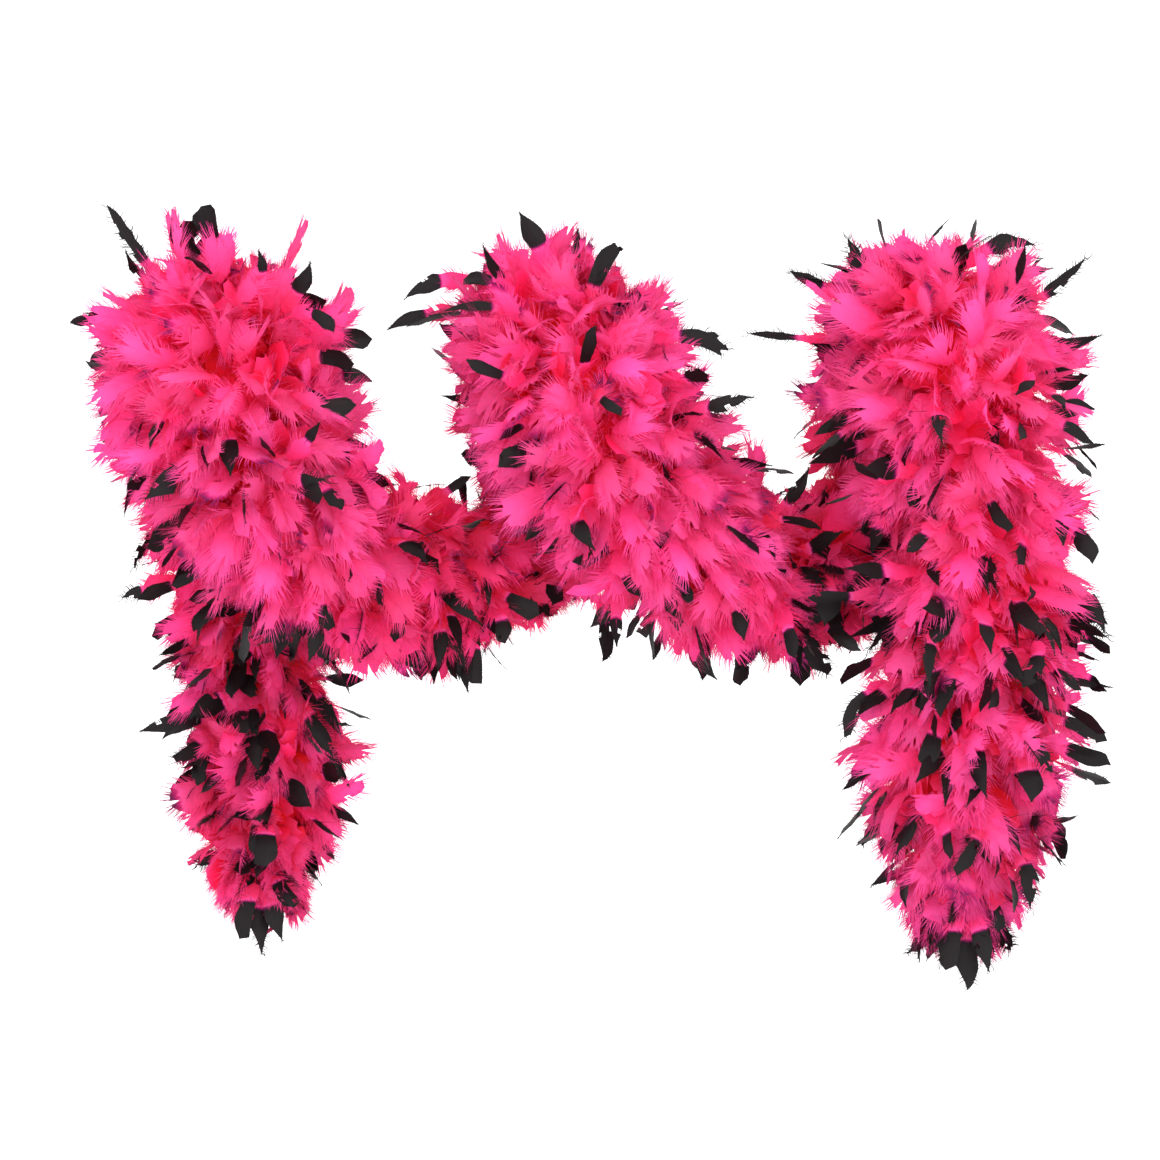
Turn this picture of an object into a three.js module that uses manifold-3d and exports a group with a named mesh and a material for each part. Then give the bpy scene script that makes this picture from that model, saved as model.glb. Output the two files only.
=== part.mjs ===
// Feather boa thrown three times over a horizontal round rail.
// Millimetres, +Z up. The origin is on the rail's axis, half way along the boa.
// +X runs along the rail, from the left tail to the right tail, and -Y faces the room.
//
// A two-ply cord runs through the whole boa. It is cut into stretches, one or
// more for each part that moves. Round it sits the plumage, as one soft sleeve
// for each short stretch. Each end of the cord has a thread whipping, a knot
// and a small hanging loop.

import * as THREE from 'three';
import { mergeVertices } from 'three/addons/utils/BufferGeometryUtils.js';
import Module from 'manifold-3d';

// ---------------------------------------------------------------- dimensions

const RAIL_RADIUS = 39;        // the rail that the boa hangs on (not part of it)
const RAIL_CLEARANCE = 0.4;    // between the wraps and the rail
const SWAG_RAIL_CLEARANCE = 6;  // between the swags, which swing, and the rail
const CORD_RADIUS = 2.5;       // two-ply core cord, 5 mm thick
const CORD_SIDES = 8;
const CORD_STEP = 14;          // about three diameters
const BORE_RADIUS = 5.2;       // the hole that the cord runs through
const SLEEVE_SIDES = 12;
const SEAM_GAP = 0.3;          // half the gap between two sleeves in one body
const HINGE_GAP = 1.0;         // half the gap at a hinge
const WHIP_RADIUS = 3.6;
const KNOT_RADIUS = 6;
const LOOP_WIRE = 1.4;         // radius of the loop's cord
const LOOP_WIDTH = 12;         // between the loop's two legs, centre to centre
const LOOP_LENGTH = 22;

// The line of the cord, from the left tail's end to the right tail's end, with
// the plumage's radius there: [x, y, z, radius].
const DRAPE = [
  [-195.5, 63.0, -262.0, 44],
  [-195.5, 63.0, -217.0, 50],
  [-196.5, 63.5, -163.2, 51],
  [-199.2, 64.2, -103.2, 53],
  [-206.4, 64.2, -46.2, 58],
  [-213.6, 62.2, 0.0, 64],
  [-218.0, 51.4, 32.2, 66],
  [-220.0, 28.4, 53.4, 63],
  [-219.0, 0.0, 61.0, 64],
  [-215.4, -28.4, 53.6, 65],
  [-209.4, -51.6, 32.4, 68],
  [-200.4, -63.4, -1.2, 66],
  [-183.0, -64.8, -40.0, 60],
  [-156.0, -52.0, -68.0, 56],
  [-120.0, -27.0, -80.0, 54],
  [-81.0, -1.0, -81.0, 51],
  [-46.0, 22.0, -77.0, 46],
  [-20.0, 39.5, -64.0, 44],
  [-7.2, 53.6, -40.0, 46],
  [-6.6, 61.4, -7.2, 50],
  [-11.4, 52.4, 29.0, 56],
  [-14.4, 28.4, 53.2, 57],
  [-14.4, 0.0, 61.0, 58],
  [-11.4, -28.4, 53.4, 60],
  [-4.2, -51.6, 32.4, 62],
  [9.0, -63.6, 0.0, 60],
  [30.6, -66.0, -36.0, 58],
  [60.0, -53.0, -66.0, 56],
  [96.0, -25.0, -83.0, 54],
  [132.0, 2.5, -84.0, 49],
  [163.8, 29.0, -72.0, 44],
  [186.6, 47.6, -44.0, 44],
  [198.6, 60.4, -10.8, 50],
  [204.6, 52.6, 28.0, 56],
  [207.6, 28.6, 53.2, 58],
  [209.4, 0.0, 61.0, 59],
  [213.0, -28.4, 53.4, 60],
  [217.8, -51.6, 32.4, 62],
  [223.8, -63.4, -1.2, 62],
  [229.2, -66.0, -43.2, 62],
  [230.5, -66.0, -91.2, 64],
  [229.0, -65.4, -139.2, 65],
  [226.5, -64.8, -187.2, 64],
  [223.5, -64.2, -232.0, 58],
  [221.5, -63.6, -273.0, 46],
];

// Where the boa bends freely, as a distance along DRAPE in steps of its rows:
// the hinges of the two tails, and the two ends of each swag.
const LEFT_TAIL_HINGES = [1.15, 2.2, 3.3];
const LEFT_SWAG = [12.45, 17.9];
const RIGHT_SWAG = [26.5, 31.0];
const RIGHT_TAIL_HINGES = [39.75, 41.35, 42.85];

// The plumage's end faces lean back from a hinge by this angle.
const TAIL_RELIEF = 13;
const SWAG_RELIEF = 9;

const PINK = '#e4306e';
const PINK_DEEP = '#c81f52';
const PINK_DARK = '#a51c4a';
const CORD_COLOUR = '#8e1040';
const THREAD_COLOUR = '#2a0f1c';

// -------------------------------------------------------------------- the line

const rows = DRAPE.map(([x, y, z]) => new THREE.Vector3(x, y, z));
const radii = DRAPE.map((row) => row[3]);

function rowPoint(i) {
  const last = rows.length - 1;
  if (i < 0) return rows[0].clone().multiplyScalar(2).sub(rows[1]);
  if (i > last) return rows[last].clone().multiplyScalar(2).sub(rows[last - 1]);
  return rows[i];
}

// Catmull-Rom through the rows, so that a whole number is exactly on a row.
function lineAt(u) {
  const last = rows.length - 1;
  const i = Math.min(Math.max(Math.floor(u), 0), last - 1);
  const t = u - i;
  const [a, b, c, d] = [rowPoint(i - 1), rowPoint(i), rowPoint(i + 1), rowPoint(i + 2)];
  const f = (a, b, c, d) => 0.5 * (2 * b + (c - a) * t
    + (2 * a - 5 * b + 4 * c - d) * t * t + (3 * b - a - 3 * c + d) * t * t * t);
  return new THREE.Vector3(f(a.x, b.x, c.x, d.x), f(a.y, b.y, c.y, d.y), f(a.z, b.z, c.z, d.z));
}

function radiusAt(u) {
  const last = rows.length - 1;
  const i = Math.min(Math.max(Math.floor(u), 0), last - 1);
  return THREE.MathUtils.lerp(radii[i], radii[i + 1], THREE.MathUtils.clamp(u - i, 0, 1));
}

// The line, cut finely: place, heading, a side direction carried along without
// twist, the bend's centre direction and the bend's radius.
const FINE = 20;
const line = [];
{
  const count = (rows.length - 1) * FINE;
  for (let k = 0; k <= count; k++) {
    const u = k / FINE;
    const point = lineAt(u);
    const heading = lineAt(Math.min(u + 0.01, rows.length - 1)).sub(lineAt(Math.max(u - 0.01, 0))).normalize();
    line.push({ u, point, heading });
  }
  let side = new THREE.Vector3(1, 0, 0);
  let length = 0;
  line.forEach((at, k) => {
    side = side.clone().addScaledVector(at.heading, -side.dot(at.heading)).normalize();
    at.side = side;
    at.up = new THREE.Vector3().crossVectors(side, at.heading);
    if (k) length += at.point.distanceTo(line[k - 1].point);
    at.length = length;
  });
  const reach = 8;
  line.forEach((at, k) => {
    const a = line[Math.max(k - reach, 0)];
    const b = line[Math.min(k + reach, line.length - 1)];
    const turn = b.heading.clone().sub(a.heading).divideScalar(b.length - a.length);
    turn.addScaledVector(at.heading, -turn.dot(at.heading));
    at.bend = turn; // its length is 1 / the bend's radius
  });
}
const LINE_LENGTH = line[line.length - 1].length;

function lengthAt(u) {
  const k = Math.min(Math.max(u * FINE, 0), line.length - 1);
  const i = Math.min(Math.floor(k), line.length - 2);
  return THREE.MathUtils.lerp(line[i].length, line[i + 1].length, k - i);
}

function stationAt(length) {
  let i = 0;
  while (i < line.length - 2 && line[i + 1].length < length) i++;
  const a = line[i];
  const b = line[i + 1];
  const t = THREE.MathUtils.clamp((length - a.length) / (b.length - a.length), -2, 3);
  const mix = (key) => a[key].clone().lerp(b[key], THREE.MathUtils.clamp(t, 0, 1));
  const heading = mix('heading').normalize();
  const point = a.point.clone().lerp(b.point, t);
  const side = mix('side');
  side.addScaledVector(heading, -side.dot(heading)).normalize();
  return { point, heading, side, up: new THREE.Vector3().crossVectors(side, heading), bend: mix('bend'), u: THREE.MathUtils.lerp(a.u, b.u, t) };
}

// -------------------------------------------------------------------- solids

const wasm = await Module();
wasm.setup();

function solidOf(geometry) {
  const bare = geometry.clone();
  bare.deleteAttribute('normal');
  bare.deleteAttribute('uv');
  const merged = mergeVertices(bare, 1e-4);
  return new wasm.Manifold(new wasm.Mesh({
    numProp: 3,
    vertProperties: new Float32Array(merged.attributes.position.array),
    triVerts: new Uint32Array(merged.index.array),
  }));
}

function geometryOf(solid) {
  const { vertProperties, triVerts, numProp } = solid.getMesh();
  const positions = new Float32Array((vertProperties.length / numProp) * 3);
  for (let i = 0; i < positions.length / 3; i++) {
    for (let k = 0; k < 3; k++) positions[3 * i + k] = vertProperties[numProp * i + k];
  }
  const geometry = new THREE.BufferGeometry();
  geometry.setAttribute('position', new THREE.BufferAttribute(positions, 3));
  geometry.setIndex(new THREE.BufferAttribute(new Uint32Array(triVerts), 1));
  geometry.computeVertexNormals();
  return geometry;
}

// The room that the plumage leaves for the rail.
function railRoom(clearance) {
  const sides = 28;
  const radius = (RAIL_RADIUS + clearance) / Math.cos(Math.PI / sides);
  return solidOf(new THREE.CylinderGeometry(radius, radius, 900, sides).rotateZ(Math.PI / 2));
}

// A soft sleeve of plumage between two lengths along the line. It is turned as
// a straight ring and then bent along the line. reliefs are the angles by which
// its two end faces lean back, and gaps are what it keeps clear at each end.
function sleeveGeometry(from, to, { reliefs = [0, 0], gaps = [SEAM_GAP, SEAM_GAP], bands = 3 } = {}) {
  const a = from + gaps[0];
  const b = to - gaps[1];
  const ra = radiusAt(stationAt(from).u);
  const rb = radiusAt(stationAt(to).u);
  const lean = reliefs.map((degrees, k) => Math.tan(THREE.MathUtils.degToRad(degrees)) * (k ? rb : ra));
  const outerA = a + lean[0];
  const outerB = b - lean[1];
  const profile = [];
  for (let k = 0; k <= bands; k++) profile.push(new THREE.Vector2(1, THREE.MathUtils.lerp(outerA, outerB, k / bands)));
  for (let k = 0; k <= bands; k++) profile.push(new THREE.Vector2(0, THREE.MathUtils.lerp(b, a, k / bands)));
  profile.push(profile[0].clone());
  // radius 1 stands for the plumage's outside and radius 0 for the bore
  const ring = new THREE.LatheGeometry(profile.map((p) => new THREE.Vector2(1 + p.x, p.y)), SLEEVE_SIDES);
  const place = ring.attributes.position;
  for (let i = 0; i < place.count; i++) {
    const x = place.getX(i);
    const y = place.getY(i);
    const z = place.getZ(i);
    const angle = Math.atan2(z, x);
    const outside = Math.hypot(x, z) > 1.5;
    const at = stationAt(y);
    const out = at.side.clone().multiplyScalar(Math.cos(angle)).addScaledVector(at.up, Math.sin(angle));
    let radius = outside ? radiusAt(at.u) : BORE_RADIUS;
    if (outside) {
      const toRail = new THREE.Vector3(0, -at.point.y, -at.point.z);
      const far = toRail.length();
      const near = THREE.MathUtils.clamp((95 - far) / 30, 0, 1); // over the rail
      const lift = out.dot(toRail.normalize());
      // over the rail the plumage spreads sideways and lies lower
      radius *= 1 - 0.17 * near * lift * lift;
      // inside a bend it can't reach past the bend's centre
      const inward = out.dot(at.bend);
      if (inward > 1e-6) radius = Math.min(radius, 0.72 / inward);
    }
    place.setXYZ(i, ...at.point.clone().addScaledVector(out, radius).toArray());
  }
  return ring;
}

function sleeve(name, colour, from, to, options = {}) {
  let solid = solidOf(sleeveGeometry(from, to, options));
  if (options.rail) solid = solid.subtract(railRoom(options.rail));
  return mesh(name, geometryOf(solid), colour, 0.9);
}

function cord(name, from, to) {
  const curve = new (class extends THREE.Curve {
    getPoint(t, target = new THREE.Vector3()) {
      return target.copy(stationAt(THREE.MathUtils.lerp(from, to, t)).point);
    }
  })();
  const section = new THREE.Shape();
  for (let k = 0; k < CORD_SIDES; k++) {
    const angle = (2 * Math.PI * k) / CORD_SIDES;
    const x = CORD_RADIUS * Math.cos(angle);
    const y = CORD_RADIUS * Math.sin(angle);
    if (k) section.lineTo(x, y); else section.moveTo(x, y);
  }
  section.closePath();
  const tube = new THREE.ExtrudeGeometry(section, {
    steps: Math.max(2, Math.round((to - from) / CORD_STEP)), extrudePath: curve, curveSegments: 1,
  });
  return mesh(name, geometryOf(solidOf(tube)), CORD_COLOUR, 0.8);
}

function mesh(name, geometry, colour, roughness) {
  const material = new THREE.MeshStandardMaterial({ color: colour, roughness, metalness: 0 });
  const made = new THREE.Mesh(geometry, material);
  made.name = name;
  return made;
}

// A straight turned piece under a tail's end, hanging along -Z.
function turned(name, place, profile, colour) {
  const points = profile.map(([r, z]) => new THREE.Vector2(r, z));
  const made = mesh(name, geometryOf(solidOf(new THREE.LatheGeometry(points, 12))), colour, 0.7);
  made.rotation.x = Math.PI / 2; // the turning axis is Z
  made.position.copy(place);
  return made;
}

// The hanging loop: a long closed ring of thin cord.
function hangingLoop(name, top, colour) {
  const half = LOOP_WIDTH / 2;
  const drop = LOOP_LENGTH - LOOP_WIDTH;
  const ring = new THREE.TorusGeometry(half, LOOP_WIRE, 8, 20);
  const place = ring.attributes.position;
  for (let i = 0; i < place.count; i++) {
    if (place.getY(i) < -1e-6) place.setY(i, place.getY(i) - drop);
  }
  const made = mesh(name, geometryOf(solidOf(ring)), colour, 0.8);
  made.rotation.x = Math.PI / 2; // the loop stands in the XZ plane
  made.position.copy(top).add(new THREE.Vector3(0, 0, -half));
  return made;
}

// -------------------------------------------------------------------- assembly

const boa = new THREE.Group();
boa.name = 'feather_boa';

const [leftEnd, leftMid, leftTop] = LEFT_TAIL_HINGES.map(lengthAt);
const [leftSwagA, leftSwagB] = LEFT_SWAG.map(lengthAt);
const [rightSwagA, rightSwagB] = RIGHT_SWAG.map(lengthAt);
const [rightTop, rightMid, rightEnd] = RIGHT_TAIL_HINGES.map(lengthAt);
const END = LINE_LENGTH;

// cords
for (const [name, from, to] of [
  ['cord_left_tail_end', 0, leftEnd - HINGE_GAP],
  ['cord_left_tail_middle', leftEnd + HINGE_GAP, leftMid - HINGE_GAP],
  ['cord_left_tail_top', leftMid + HINGE_GAP, leftTop - HINGE_GAP],
  ['cord_left_wrap', leftTop + HINGE_GAP, leftSwagA - HINGE_GAP],
  ['cord_left_swag', leftSwagA + HINGE_GAP, leftSwagB - HINGE_GAP],
  ['cord_middle_wrap', leftSwagB + HINGE_GAP, rightSwagA - HINGE_GAP],
  ['cord_right_swag', rightSwagA + HINGE_GAP, rightSwagB - HINGE_GAP],
  ['cord_right_wrap', rightSwagB + HINGE_GAP, rightTop - HINGE_GAP],
  ['cord_right_tail_top', rightTop + HINGE_GAP, rightMid - HINGE_GAP],
  ['cord_right_tail_middle', rightMid + HINGE_GAP, rightEnd - HINGE_GAP],
  ['cord_right_tail_end', rightEnd + HINGE_GAP, END],
]) boa.add(cord(name, from, to));

// plumage over the rail, in seven sleeves to a wrap
function wrap(side, from, to, cuts, reliefs) {
  const names = ['back_below', 'back_low', 'back_high', 'crown', 'front_high', 'front_low', 'front_below'];
  const stops = [from, ...cuts.map(lengthAt), to];
  names.forEach((part, k) => {
    const last = names.length - 1;
    boa.add(sleeve(`plumage_${side}_${part}`, k < 3 ? PINK_DEEP : PINK, stops[k], stops[k + 1], {
      rail: RAIL_CLEARANCE,
      bands: 2,
      reliefs: [k === 0 ? reliefs[0] : 0, k === last ? reliefs[1] : 0],
      gaps: [k === 0 ? HINGE_GAP : SEAM_GAP, k === last ? HINGE_GAP : SEAM_GAP],
    }));
  });
}
wrap('left_wrap', leftTop, leftSwagA, [4.55, 5.85, 7.2, 8.8, 10.15, 11.45], [TAIL_RELIEF, SWAG_RELIEF]);
wrap('middle_wrap', leftSwagB, rightSwagA, [18.7, 19.85, 21.2, 22.8, 24.15, 25.5], [SWAG_RELIEF, SWAG_RELIEF]);
wrap('right_wrap', rightSwagB, rightTop, [31.75, 32.85, 34.2, 35.8, 37.15, 38.45], [SWAG_RELIEF, TAIL_RELIEF]);

// plumage of the two swags
function swag(side, from, to) {
  ['first', 'middle', 'last'].forEach((part, k) => {
    boa.add(sleeve(`plumage_${side}_${part}`, PINK_DEEP, THREE.MathUtils.lerp(from, to, k / 3), THREE.MathUtils.lerp(from, to, (k + 1) / 3), {
      rail: SWAG_RAIL_CLEARANCE,
      reliefs: [k === 0 ? SWAG_RELIEF : 0, k === 2 ? SWAG_RELIEF : 0],
      gaps: [k === 0 ? HINGE_GAP : SEAM_GAP, k === 2 ? HINGE_GAP : SEAM_GAP],
    }));
  });
}
swag('left_swag', leftSwagA, leftSwagB);
swag('right_swag', rightSwagA, rightSwagB);

// plumage of the two tails
boa.add(sleeve('plumage_left_tail_end', PINK_DARK, 0, leftEnd, { reliefs: [20, TAIL_RELIEF], gaps: [2, HINGE_GAP] }));
boa.add(sleeve('plumage_left_tail_middle', PINK_DARK, leftEnd, leftMid, { reliefs: [TAIL_RELIEF, TAIL_RELIEF], gaps: [HINGE_GAP, HINGE_GAP] }));
boa.add(sleeve('plumage_left_tail_top', PINK_DARK, leftMid, leftTop, { reliefs: [TAIL_RELIEF, TAIL_RELIEF], gaps: [HINGE_GAP, HINGE_GAP] }));
boa.add(sleeve('plumage_right_tail_top', PINK, rightTop, rightMid, { reliefs: [TAIL_RELIEF, TAIL_RELIEF], gaps: [HINGE_GAP, HINGE_GAP] }));
boa.add(sleeve('plumage_right_tail_middle', PINK, rightMid, rightEnd, { reliefs: [TAIL_RELIEF, TAIL_RELIEF], gaps: [HINGE_GAP, HINGE_GAP] }));
boa.add(sleeve('plumage_right_tail_end', PINK, rightEnd, END, { reliefs: [TAIL_RELIEF, 20], gaps: [HINGE_GAP, 2] }));

// whippings, knots and hanging loops
for (const [side, row] of [['left', 0], ['right', rows.length - 1]]) {
  const tip = rows[row].clone();
  const below = (drop) => tip.clone().add(new THREE.Vector3(0, 0, -drop));
  boa.add(turned(`whipping_${side}_end`, below(0.4), [[0, 0], [WHIP_RADIUS, 0], [WHIP_RADIUS, -7], [0, -7]].reverse(), THREAD_COLOUR));
  boa.add(turned(`knot_${side}_end`, below(7.8 + KNOT_RADIUS), [
    [0, -KNOT_RADIUS], [KNOT_RADIUS * 0.7, -KNOT_RADIUS * 0.75], [KNOT_RADIUS, 0], [KNOT_RADIUS * 0.7, KNOT_RADIUS * 0.75], [0, KNOT_RADIUS],
  ], CORD_COLOUR));
  boa.add(hangingLoop(`hanging_loop_${side}`, below(7.8 + 2 * KNOT_RADIUS + 0.5 + LOOP_WIRE), CORD_COLOUR));
}

export default boa;
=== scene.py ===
"""Feather boa thrown three times over a rail: the looks. Metres, the same frame as the CAD."""

import math

import bpy
import numpy as np
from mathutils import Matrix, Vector


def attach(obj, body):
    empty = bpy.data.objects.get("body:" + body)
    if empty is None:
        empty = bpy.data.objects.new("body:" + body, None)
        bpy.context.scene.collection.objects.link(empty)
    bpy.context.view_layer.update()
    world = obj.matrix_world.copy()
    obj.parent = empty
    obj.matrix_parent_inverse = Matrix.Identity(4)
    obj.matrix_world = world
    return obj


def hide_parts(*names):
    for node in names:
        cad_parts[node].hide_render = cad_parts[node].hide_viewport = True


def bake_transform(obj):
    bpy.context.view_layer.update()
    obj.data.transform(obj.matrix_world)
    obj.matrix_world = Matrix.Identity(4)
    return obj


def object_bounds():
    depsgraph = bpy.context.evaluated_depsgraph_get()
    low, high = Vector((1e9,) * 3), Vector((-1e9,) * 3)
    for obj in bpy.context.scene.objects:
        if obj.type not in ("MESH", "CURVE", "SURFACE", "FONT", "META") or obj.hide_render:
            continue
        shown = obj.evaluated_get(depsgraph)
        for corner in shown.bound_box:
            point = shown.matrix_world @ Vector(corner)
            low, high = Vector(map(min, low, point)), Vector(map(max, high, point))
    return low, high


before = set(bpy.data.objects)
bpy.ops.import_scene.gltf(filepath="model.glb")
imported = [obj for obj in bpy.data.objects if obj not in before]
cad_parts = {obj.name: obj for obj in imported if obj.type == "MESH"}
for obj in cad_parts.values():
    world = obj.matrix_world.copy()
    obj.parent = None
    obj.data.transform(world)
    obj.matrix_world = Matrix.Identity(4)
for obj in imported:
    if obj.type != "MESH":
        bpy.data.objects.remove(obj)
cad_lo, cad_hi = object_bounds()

MM = 0.001

# ------------------------------------------------------------------ the drape
# the line of the cord (x, y, z) with the plumage's radius there, in mm
DRAPE = np.array([
    (-195.5, 63.0, -262.0, 44), (-195.5, 63.0, -217.0, 50), (-196.5, 63.5, -163.2, 51),
    (-199.2, 64.2, -103.2, 53), (-206.4, 64.2, -46.2, 58), (-213.6, 62.2, 0.0, 64),
    (-218.0, 51.4, 32.2, 66), (-220.0, 28.4, 53.4, 63), (-219.0, 0.0, 61.0, 64),
    (-215.4, -28.4, 53.6, 65), (-209.4, -51.6, 32.4, 68), (-200.4, -63.4, -1.2, 66),
    (-183.0, -64.8, -40.0, 60), (-156.0, -52.0, -68.0, 56), (-120.0, -27.0, -80.0, 54),
    (-81.0, -1.0, -81.0, 51), (-46.0, 22.0, -77.0, 46), (-20.0, 39.5, -64.0, 44),
    (-7.2, 53.6, -40.0, 46), (-6.6, 61.4, -7.2, 50), (-11.4, 52.4, 29.0, 56),
    (-14.4, 28.4, 53.2, 57), (-14.4, 0.0, 61.0, 58), (-11.4, -28.4, 53.4, 60),
    (-4.2, -51.6, 32.4, 62), (9.0, -63.6, 0.0, 60), (30.6, -66.0, -36.0, 58),
    (60.0, -53.0, -66.0, 56), (96.0, -25.0, -83.0, 54), (132.0, 2.5, -84.0, 49),
    (163.8, 29.0, -72.0, 44), (186.6, 47.6, -44.0, 44), (198.6, 60.4, -10.8, 50),
    (204.6, 52.6, 28.0, 56), (207.6, 28.6, 53.2, 58), (209.4, 0.0, 61.0, 59),
    (213.0, -28.4, 53.4, 60), (217.8, -51.6, 32.4, 62), (223.8, -63.4, -1.2, 62),
    (229.2, -66.0, -43.2, 62), (230.5, -66.0, -91.2, 64), (229.0, -65.4, -139.2, 65),
    (226.5, -64.8, -187.2, 64), (223.5, -64.2, -232.0, 58), (221.5, -63.6, -273.0, 46),
])
LEFT_TAIL_HINGES = [1.15, 2.2, 3.3]
LEFT_SWAG = [12.45, 17.9]
RIGHT_SWAG = [26.5, 31.0]
RIGHT_TAIL_HINGES = [39.75, 41.35, 42.85]
RAIL_R = 39.0
HINGE_GAP = 1.0
ROOT = "wraps_on_rail"

rows, radii = DRAPE[:, :3], DRAPE[:, 3]
ext = np.vstack([2 * rows[0] - rows[1], rows, 2 * rows[-1] - rows[-2]])


def line_at(u):
    u = np.atleast_1d(np.asarray(u, float))
    i = np.clip(np.floor(u).astype(int), 0, len(rows) - 2)
    t = (u - i)[:, None]
    a, b, c, d = ext[i], ext[i + 1], ext[i + 2], ext[i + 3]
    return 0.5 * (2 * b + (c - a) * t + (2 * a - 5 * b + 4 * c - d) * t**2 + (3 * b - a - 3 * c + d) * t**3)


FINE = 20
U = np.arange((len(rows) - 1) * FINE + 1) / FINE
PT = line_at(U)
S = np.r_[0, np.cumsum(np.linalg.norm(np.diff(PT, axis=0), axis=1))]
TAN = np.gradient(PT, S, axis=0)
TAN /= np.linalg.norm(TAN, axis=1)[:, None]
SIDE = np.zeros_like(PT)
side = np.array([1.0, 0, 0])
for k in range(len(PT)):
    side = side - TAN[k] * (side @ TAN[k])
    side /= np.linalg.norm(side)
    SIDE[k] = side
UPV = np.cross(SIDE, TAN)
RAD = np.interp(U, np.arange(len(rows)), radii)
TOTAL = float(S[-1])


def s_of(u):
    return float(np.interp(u, U, S))


def unit(v):
    return v / np.maximum(np.linalg.norm(v, axis=-1, keepdims=True), 1e-9)


def along(s):
    """place, heading, side, up and plumage radius at lengths s, in mm"""
    s = np.asarray(s, float)
    f = lambda a: np.stack([np.interp(s, S, a[:, k]) for k in range(3)], -1)
    p, t, sd = f(PT), unit(f(TAN)), f(SIDE)
    sd = unit(sd - t * (sd * t).sum(-1, keepdims=True))
    return p, t, sd, np.cross(sd, t), np.interp(s, S, RAD)


L_END, L_MID, L_TOP = [s_of(u) for u in LEFT_TAIL_HINGES]
LS_A, LS_B = [s_of(u) for u in LEFT_SWAG]
RS_A, RS_B = [s_of(u) for u in RIGHT_SWAG]
R_TOP, R_MID, R_END = [s_of(u) for u in RIGHT_TAIL_HINGES]

# ------------------------------------------------------------------ camera
scene = bpy.context.scene
cam_data = bpy.data.cameras.new("camera")
cam = bpy.data.objects.new("camera", cam_data)
scene.collection.objects.link(cam)
scene.camera = cam
VIEW_W, DIST = 0.696, 4.0
cam_data.sensor_width = 36
cam_data.lens = 36 * DIST / VIEW_W
cam_data.clip_end = 50
cam.location = (-0.003, -DIST, -0.0912)
cam.rotation_euler = (math.radians(90), 0, 0)


# ------------------------------------------------------------------ mesh making
def make_mesh(name, verts, quads, uv=None, tris=None, smooth=False, mats=()):
    """verts in mm; quads (n, 4) and tris (n, 3) of vertex numbers; uv per vertex"""
    me = bpy.data.meshes.new(name)
    tris = np.zeros((0, 3), int) if tris is None else tris
    quads = np.zeros((0, 4), int) if quads is None else quads
    loops = np.concatenate([quads.ravel(), tris.ravel()]).astype(np.int32)
    starts = np.concatenate([np.arange(len(quads)) * 4, len(quads) * 4 + np.arange(len(tris)) * 3]).astype(np.int32)
    me.vertices.add(len(verts))
    me.vertices.foreach_set("co", (np.asarray(verts, float) * MM).astype(np.float32).ravel())
    me.loops.add(len(loops))
    me.loops.foreach_set("vertex_index", loops)
    me.polygons.add(len(starts))
    me.polygons.foreach_set("loop_start", starts)
    me.polygons.foreach_set("use_smooth", np.full(len(starts), bool(smooth)))
    if uv is not None:
        layer = me.uv_layers.new(name="OFBake", do_init=False)
        layer.uv.foreach_set("vector", np.asarray(uv, np.float32)[loops].ravel())
    me.update(calc_edges=True)
    me.validate()
    for m in mats:
        me.materials.append(m)
    ob = bpy.data.objects.new(name, me)
    scene.collection.objects.link(ob)
    return ob


class Soup:
    """Ribbons and other bits gathered for one mesh."""

    def __init__(self):
        self.v, self.uv, self.q, self.t, self.n = [], [], [], [], 0

    def add(self, v, uv, q=None, t=None):
        self.v.append(v.reshape(-1, 3))
        self.uv.append(uv.reshape(-1, 2))
        if q is not None and len(q):
            self.q.append(q + self.n)
        if t is not None and len(t):
            self.t.append(t + self.n)
        self.n += len(self.v[-1])

    def ribbons(self, centre, half, uv0, uv1):
        """centre, half (n, k, 3): each ribbon's middle line and half-width; uv0, uv1 (n, k, 2) for its edges"""
        n, k = centre.shape[:2]
        if n == 0:
            return
        v = np.stack([centre - half, centre + half], 2)
        uv = np.stack([uv0, uv1], 2)
        base = (np.arange(n)[:, None] * k + np.arange(k - 1)[None]) * 2
        q = np.stack([base, base + 1, base + 3, base + 2], -1).reshape(-1, 4)
        self.add(v, uv, q)

    def object(self, name, mats, smooth=True):
        v = np.vstack(self.v)

        def clear(f):
            """The rail's passage stays open: no face spans it."""
            mid = v[f].mean(1)
            return f[np.hypot(mid[:, 1], mid[:, 2]) > RAIL_R - 2.5]

        q = clear(np.vstack(self.q)) if self.q else None
        t = clear(np.vstack(self.t)) if self.t else None
        return make_mesh(name, v, q, np.vstack(self.uv), t, smooth, mats)


# ------------------------------------------------------------------ materials
def nodes_of(name):
    m = bpy.data.materials.new(name)
    m.use_nodes = True
    nt = m.node_tree
    p = next(n for n in nt.nodes if n.type == "BSDF_PRINCIPLED")
    return m, nt, p


def ramp(nt, stops, mode="LINEAR"):
    r = nt.nodes.new("ShaderNodeValToRGB")
    r.color_ramp.interpolation = mode
    el = r.color_ramp.elements
    while len(el) > 1:
        el.remove(el[-1])
    el[0].position, el[0].color = stops[0][0], (*stops[0][1], 1)
    for pos, col in stops[1:]:
        e = el.new(pos)
        e.color = (*col, 1)
    return r


def srgb(r, g, b):
    f = lambda c: c / 12.92 if c <= 0.04045 else ((c + 0.055) / 1.055) ** 2.4
    return f(r / 255), f(g / 255), f(b / 255)


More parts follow.
